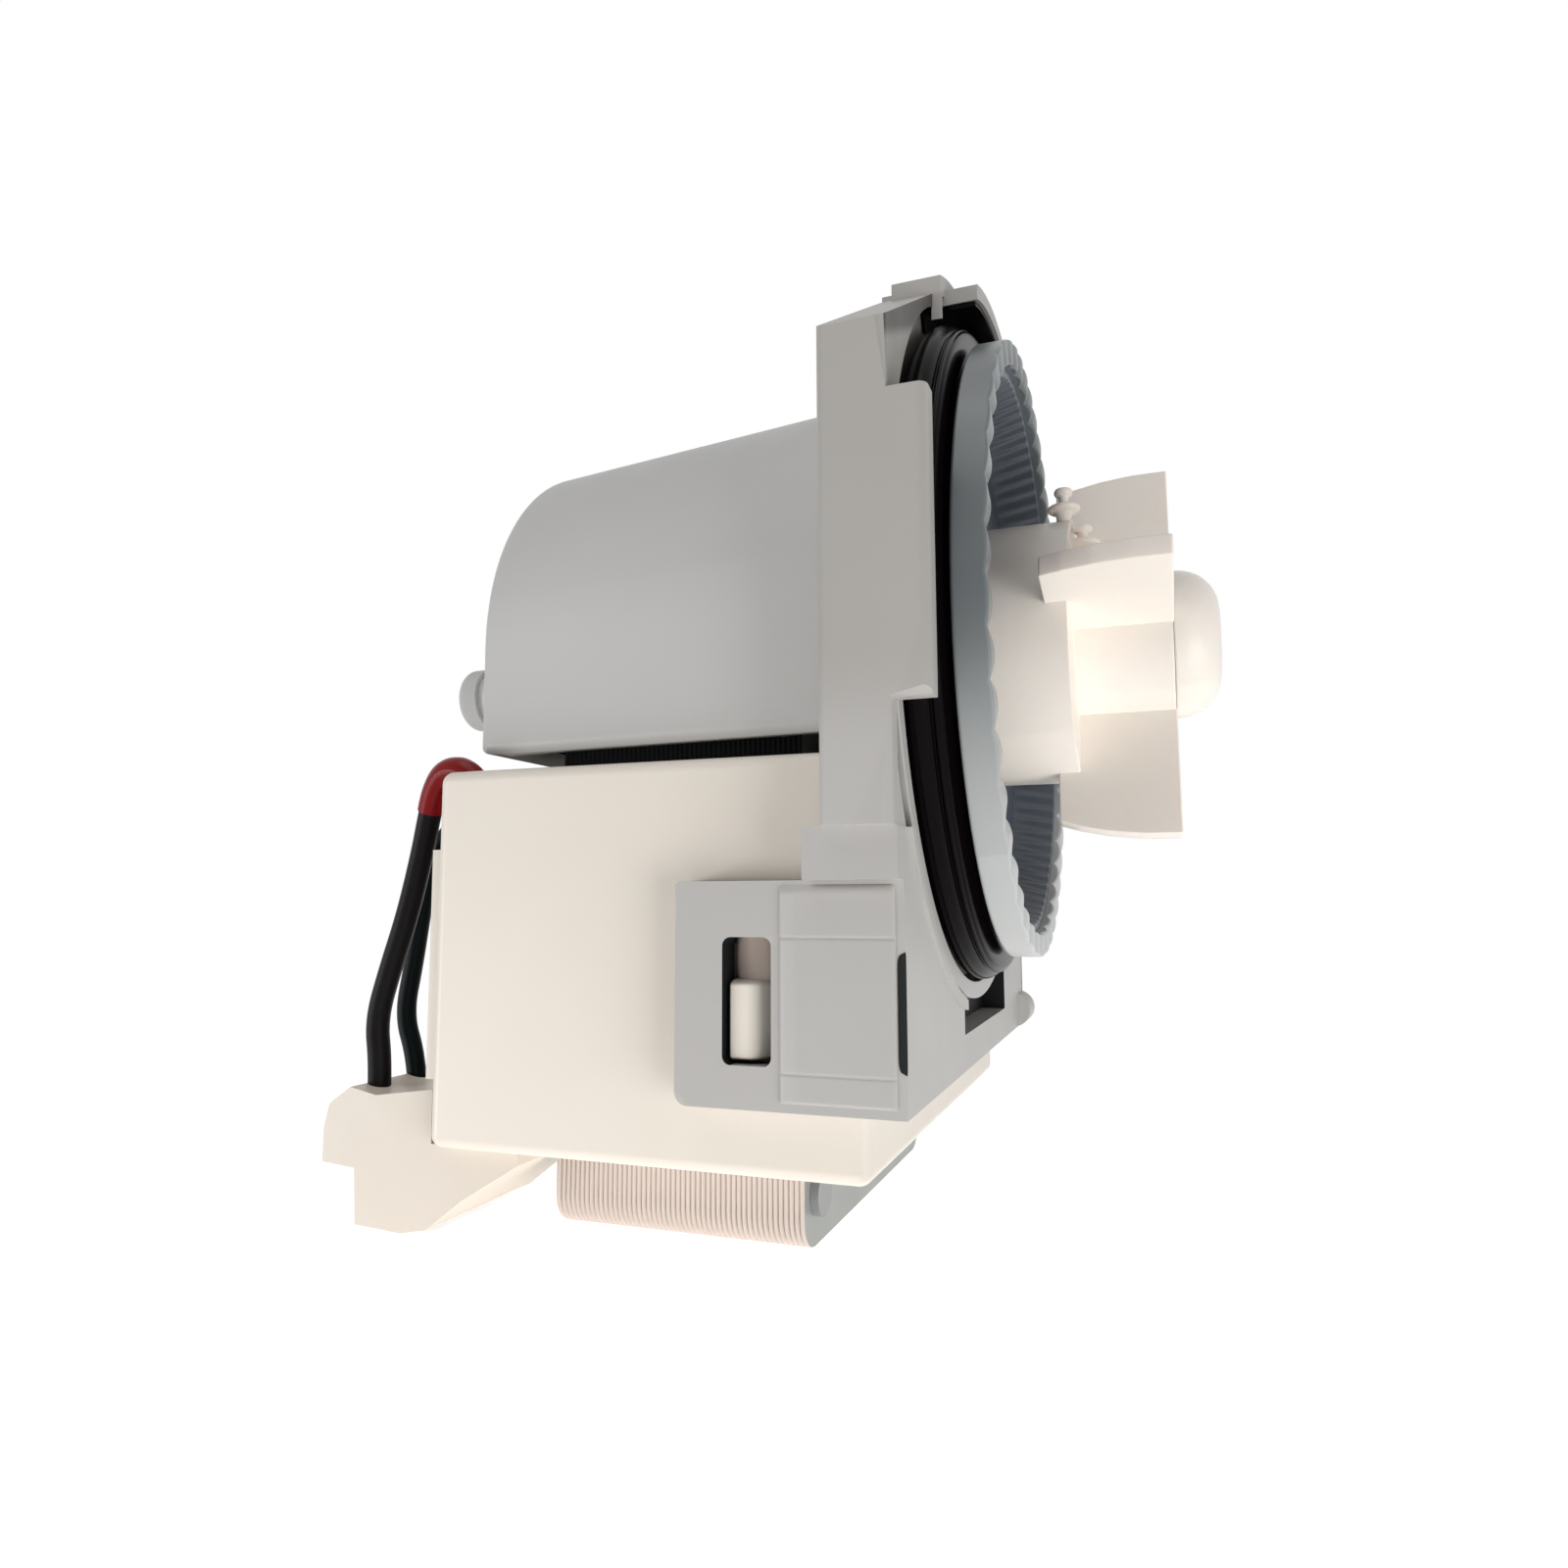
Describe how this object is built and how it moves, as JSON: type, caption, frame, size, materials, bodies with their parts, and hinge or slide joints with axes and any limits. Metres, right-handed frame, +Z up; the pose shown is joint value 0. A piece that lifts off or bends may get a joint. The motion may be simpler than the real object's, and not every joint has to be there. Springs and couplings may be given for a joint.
{
  "type": "dishwasher drain pump",
  "caption": "Synchronous drain pump with arched stator cover, cream coil box, clip-on flange, scalloped rim with rubber seal and a bladed impeller.",
  "frame": {"origin": "on the pump axis, in the plane of the scalloped rim's front face", "axes": "+X along the pump axis towards the impeller, +Z up from the coil box towards the stator cover, -Y the side with the visible clip"},
  "size_m": [0.0892, 0.0724, 0.0949],
  "materials": {
    "housing_grey": "satin moulded",
    "shield_dark": "satin moulded",
    "button_rubber": "matt",
    "seal_rubber": "glossy",
    "cover_grey": "satin moulded",
    "lamination_steel": "stacked edges",
    "rivet_steel": "satin",
    "bobbin_white": "satin",
    "enamelled_wire": "enamelled copper wire",
    "coil_cream": "satin moulded",
    "cutout_black": "satin",
    "connector_cream": "satin moulded",
    "tin_brass": "tinned",
    "sleeve_red": "glossy sleeve",
    "sleeve_black": "glossy sleeve",
    "bearing_graphite": "sintered",
    "cushion_rubber": "matt",
    "shaft_steel": "ground",
    "carrier_black": "satin",
    "ferrite": "matt ferrite",
    "washer_white": "satin",
    "impeller_white": "satin moulded",
    "dog_black": "satin"
  },
  "bodies": {
    "motor_body": {"pump_housing": "housing_grey", "front_shield": "shield_dark", "rotor_can": "housing_grey", "rear_button": "button_rubber", "chamber_seal": "seal_rubber", "stator_cover": "cover_grey", "stator_core": "lamination_steel", "core_rivets": "rivet_steel", "bobbin_near": "bobbin_white", "winding_near": "enamelled_wire", "bobbin_far": "bobbin_white", "winding_far": "enamelled_wire", "coil_housing": "coil_cream", "thermal_cutout": "cutout_black", "connector_block": "connector_cream", "contact_tabs": "tin_brass", "lead_sleeve_red": "sleeve_red", "power_lead_near": "sleeve_black", "power_lead_far": "sleeve_black", "front_bearing": "bearing_graphite", "rear_bearing": "bearing_graphite", "front_bearing_cushion": "cushion_rubber", "rear_bearing_cushion": "cushion_rubber", "shaft_seal": "seal_rubber"},
    "rotor": {"rotor_shaft": "shaft_steel", "magnet_carrier": "carrier_black", "rotor_magnet": "ferrite", "thrust_washers": "washer_white", "drive_dog": "dog_black"},
    "impeller_body": {"impeller": "impeller_white", "hub_cap": "impeller_white"}
  },
  "joints": [
    {"name": "rotor_spin", "type": "hinge", "parent": "motor_body", "child": "rotor", "pos_m": [0, 0, 0], "axis": [1, 0, 0], "continuous": true},
    {"name": "impeller_lost_motion", "type": "hinge", "parent": "rotor", "child": "impeller_body", "pos_m": [0, 0, 0], "axis": [1, 0, 0], "range_deg": [-114, 114]}
  ]
}
